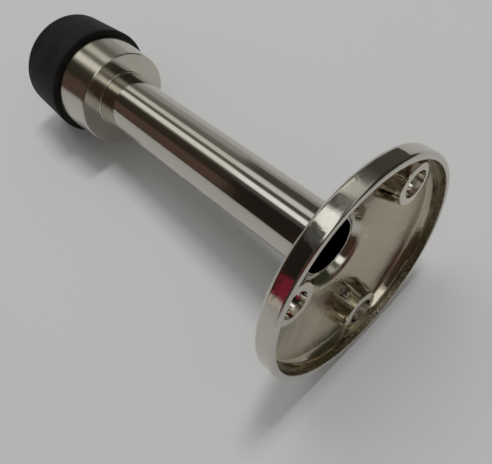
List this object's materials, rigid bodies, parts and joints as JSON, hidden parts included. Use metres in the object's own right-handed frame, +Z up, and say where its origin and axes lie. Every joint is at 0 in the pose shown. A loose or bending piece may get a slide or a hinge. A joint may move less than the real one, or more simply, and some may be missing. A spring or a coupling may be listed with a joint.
{
  "type": "door stop",
  "caption": "Wall door stop: hollow round nickel-plated base with screw holes, straight tubular post, cylindrical metal head and black rubber buffer.",
  "frame": {"origin": "centre of the base on the wall plane", "axes": "+Y along the post away from the wall, +Z up, +X to the right seen from the wall"},
  "size_m": [0.045, 0.0895, 0.045],
  "materials": {
    "nickel_plated_casting": "bright nickel plating on a zinc die casting",
    "polished_nickel_tube": "polished nickel plating on drawn steel tube",
    "plain_steel": "turned, bare",
    "satin_nickel": "satin nickel plating, finely turned",
    "spring_steel": "dark oiled spring steel",
    "zinc_plated_steel": "bright zinc plating",
    "black_rubber": "moulded, matte"
  },
  "bodies": {
    "root": {"base_flange": "nickel_plated_casting", "post_tube": "polished_nickel_tube", "tube_plug": "plain_steel", "bumper_head": "satin_nickel", "spring_washer": "spring_steel", "head_screw": "zinc_plated_steel", "rubber_bumper": "black_rubber"}
  },
  "joints": []
}
